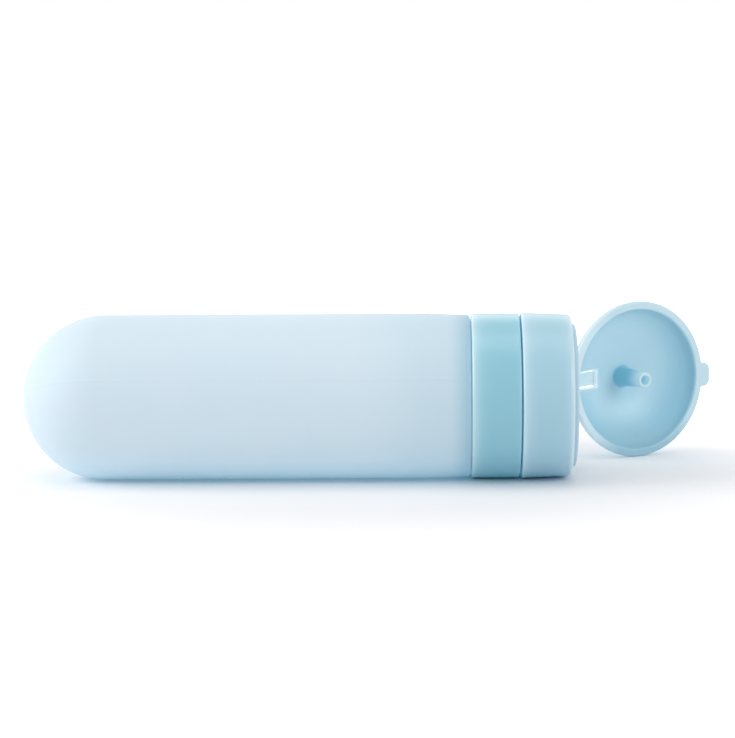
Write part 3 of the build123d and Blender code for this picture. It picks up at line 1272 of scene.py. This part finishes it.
@dataclass(frozen=True)
class Viewpoint:
    """The camera of the photograph, from its aim, angles and distance."""

    aim: Xyz = (-0.050092, 0.0, 0.0065714)
    azimuth: float = -1.4389
    elevation: float = 6.1583
    roll: float = -0.456
    distance: float = 0.559172
    lens: float = 112.714
    sensor: float = 36.0
    near: float = 0.01
    far: float = 50.0

    def build(self) -> None:
        """Adds the camera and makes it the scene's."""
        az, el, roll = (math.radians(a) for a in (self.azimuth, self.elevation, self.roll))
        flat = math.cos(el)
        ahead = Vector((math.sin(az) * flat, math.cos(az) * flat, -math.sin(el)))
        right = Vector((math.cos(az), -math.sin(az), 0.0))
        up = right.cross(ahead)
        side = right * math.cos(roll) + up * math.sin(roll)
        top = up * math.cos(roll) - right * math.sin(roll)
        data = bpy.data.cameras.new("camera")
        data.lens = self.lens
        data.sensor_width = self.sensor
        data.clip_start = self.near
        data.clip_end = self.far
        data.dof.use_dof = False
        camera = bpy.data.objects.new("camera", data)
        turn = Matrix((side, top, -ahead)).transposed().to_4x4()
        camera.matrix_world = Matrix.Translation(Vector(self.aim) - ahead * self.distance) @ turn
        bpy.context.scene.collection.objects.link(camera)
        bpy.context.scene.camera = camera


@dataclass
class Studio:
    """The pale floor, the soft lamps and the white surroundings."""

    floor_radius: float = 6.0
    floor_segments: int = 96
    floor_cloud: float = 0.2
    floor_deep: Rgba = (0.93, 0.94, 0.96, 1.0)
    floor_depth: float = 0.3
    ambient: float = 0.595
    fade_squeeze: Xyz = (0.9, 1.0, 0.0)
    fade_centre: Xyz = (-0.0405, 0.0, 0.0)
    fade_start: float = 0.04
    fade_end: float = 0.25
    bottle_middle: Xyz = (-0.06, 0.0, 0.0)
    lid_middle: Xyz = (0.0, 0.02, 0.0)

    def _floor_material(self) -> bpy.types.Material:
        """The floor's matte white, a touch brighter to the camera so that it ends in white:
        painted light that grows with the way from the bottle and lifts the far part of its shadow.
        """
        made = bpy.data.materials.new("pale floor")
        made.use_nodes = True
        made.node_tree.nodes.clear()
        w = Wiring(made.node_tree)
        place = w.node("ShaderNodeTexCoord").outputs["Object"]
        pigment = CLOUDY_PIGMENT.place(
            w,
            Place=place,
            Cloud=self.floor_cloud,
            Colour=Tint.FLOOR.linear(),
            Deep_Colour=self.floor_deep,
            Depth=self.floor_depth,
        )
        matte = w.node("ShaderNodeBsdfDiffuse")
        w.feed(matte.inputs["Color"], pigment["Colour"])
        # Painted light: to the camera the floor brightens with the way from the bottle, lifting
        # the outer part of its cast shadow
        level = w.vector("MULTIPLY", place, self.fade_squeeze).outputs[0]
        away = w.vector("DISTANCE", level, self.fade_centre).outputs["Value"]
        glow = w.node("ShaderNodeEmission")
        far = w.ramp(away, self.fade_start, self.fade_end)
        w.feed(glow.inputs["Color"], w.mix(far, BLACK, WHITE))
        w.feed(glow.inputs["Strength"], w.node("ShaderNodeLightPath").outputs["Is Camera Ray"])
        both = w.node("ShaderNodeAddShader")
        w.feed(both.inputs[0], matte.outputs[0])
        w.feed(both.inputs[1], glow.outputs[0])
        w.feed(w.node("ShaderNodeOutputMaterial").inputs["Surface"], both.outputs[0])
        return made

    def _floor(self) -> None:
        """Lays the round floor just under the bottle."""
        bm = bmesh.new()
        bmesh.ops.create_circle(
            bm,
            cap_ends=True,
            segments=self.floor_segments,
            radius=self.floor_radius,
            matrix=Matrix.Translation((0.0, 0.0, CAD_BOX[0][2])),
        )
        floor = finished(bm, "floor", self._floor_material())

    def _surroundings(self) -> None:
        """White all round for pictures and gloss, dimmer as light."""
        world = bpy.data.worlds.new("white surroundings")
        bpy.context.scene.world = world
        world.use_nodes = True
        w = Wiring(world.node_tree)
        back = world.node_tree.nodes["Background"]
        back.inputs["Color"].default_value = WHITE
        path = w.node("ShaderNodeLightPath")
        seen = w.math("MAXIMUM", path.outputs["Is Camera Ray"], path.outputs["Is Glossy Ray"])
        seen = w.math("MAXIMUM", seen, path.outputs["Is Transmission Ray"])
        strength = w.math("MULTIPLY_ADD", seen, 1.0 - self.ambient, self.ambient)
        w.feed(back.inputs["Strength"], strength)

    def _lamps(self) -> None:
        """Sets up the lamps at the left, above, behind and at the right."""
        bottle, lid = self.bottle_middle, self.lid_middle
        for lamp in (
            Softbox("left_softbox", (-0.75, -0.1, 0.3), bottle, width=0.6, height=0.6, power=3.15),
            Softbox("top_softbox", (-0.06, -0.05, 0.7), bottle, width=0.5, height=0.35, power=0.7),
            Softbox("back_softbox", (-0.06, 0.8, 0.5), bottle, width=1.0, height=0.3, power=0.8),
            Softbox("right_softbox", (0.6, -0.4, 0.3), lid, width=0.4, height=0.4, power=1.5),
        ):
            lamp.build()

    def build(self) -> None:
        """Sets the whole studio up."""
        self._floor()
        self._surroundings()
        self._lamps()
        Viewpoint().build()
        bpy.context.scene.view_settings.view_transform = "Standard"


# The whole bottle


def main() -> None:
    """Builds and dresses the bottle, then the studio round it."""
    logging.basicConfig(level=logging.INFO, format="%(name)s: %(message)s")
    skin = SiliconeSkin(
        "powdery body silicone", Tint.BODY, Tint.BODY_DEEP, Tint.BODY,
        roughness=0.6, grain=0.0004, glow=0.35, glow_reach=0.002, waviness=0.5,
        skin_light=(0.012, 0.046, 0.06, 1.0),
        under=UnderLight((0.05, 0.125, 0.165, 1.0), start=0.009, touch=(0.085, 0.15, 0.18, 1.0)),
        seep=SeepLight((0.12, 0.13, 0.13, 1.0), outside=0.0195, skin=0.00008),
    )
    SoftBody(skin).build()
    for part in NeckFittings().parts() + Closure().parts() + OpenLid().parts():
        part.dress()
    Studio().build()


if __name__ == "__main__":
    main()
